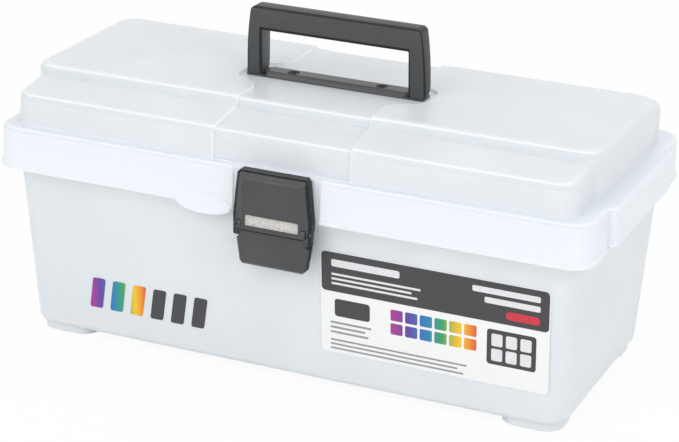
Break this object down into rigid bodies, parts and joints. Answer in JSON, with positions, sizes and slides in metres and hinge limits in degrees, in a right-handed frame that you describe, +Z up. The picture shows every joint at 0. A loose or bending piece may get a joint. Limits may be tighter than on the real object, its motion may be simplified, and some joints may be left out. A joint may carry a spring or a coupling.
{
  "type": "lift-out tray box",
  "caption": "Long lidded carrying box in frosted plastic with a stepped hinged lid, fold-down carrying handle, front draw latch and a lift-out compartment tray inside.",
  "frame": {"origin": "middle of the footprint, on the ground under the feet", "axes": "+X to the right along the length, -Y to the front where the latch is, +Z up"},
  "size_m": [0.416, 0.213, 0.2257],
  "materials": {
    "translucent_plastic": "frosted translucent, near white, satin outside",
    "black_plastic": "dark grey, fine moulded grain",
    "black_screw": "black oxide pan head",
    "pin_steel": "zinc plated",
    "label_film": null
  },
  "bodies": {
    "tub": {"tub": "translucent_plastic", "front_label": "label_film", "hinge_pin_left": "pin_steel", "hinge_pin_right": "pin_steel", "latch_pivot_pin": "pin_steel"},
    "lid": {"lid": "translucent_plastic", "handle_base": "black_plastic", "handle_screw_left": "black_screw", "handle_screw_right": "black_screw", "handle_nut_left": "pin_steel", "handle_nut_right": "pin_steel", "handle_pin_left": "pin_steel", "handle_pin_right": "pin_steel"},
    "handle": {"handle_bail": "black_plastic"},
    "tray": {"tray": "translucent_plastic"},
    "lever": {"latch_lever": "black_plastic", "latch_hook_pin_left": "pin_steel", "latch_hook_pin_right": "pin_steel"},
    "hook": {"latch_hook": "black_plastic"}
  },
  "joints": [
    {"name": "lid_hinge", "type": "hinge", "parent": "tub", "child": "lid", "pos_m": [0, 0.1025, 0.116], "axis": [-1, 0, 0], "range_deg": [0, 105]},
    {"name": "tray_lift", "type": "slide", "parent": "tub", "child": "tray", "axis": [0, 0, 1], "range_m": [0, 0.151]},
    {"name": "handle_fold", "type": "hinge", "parent": "lid", "child": "handle", "pos_m": [0, -0.007, 0.1859], "axis": [-1, 0, 0], "range_deg": [0, 85]},
    {"name": "latch_pull", "type": "hinge", "parent": "tub", "child": "lever", "pos_m": [0, -0.0981, 0.1155], "axis": [-1, 0, 0], "range_deg": [0, 90]},
    {"name": "hook_swing", "type": "hinge", "parent": "lever", "child": "hook", "pos_m": [0, -0.1027, 0.1126], "axis": [1, 0, 0], "range_deg": [0, 98]}
  ],
  "couplings": [
    {"joint": "tray_lift", "follows": "lid_hinge", "m_per_rad": 0.0818},
    {"joint": "hook_swing", "follows": "latch_pull", "ratio": 1.08}
  ]
}
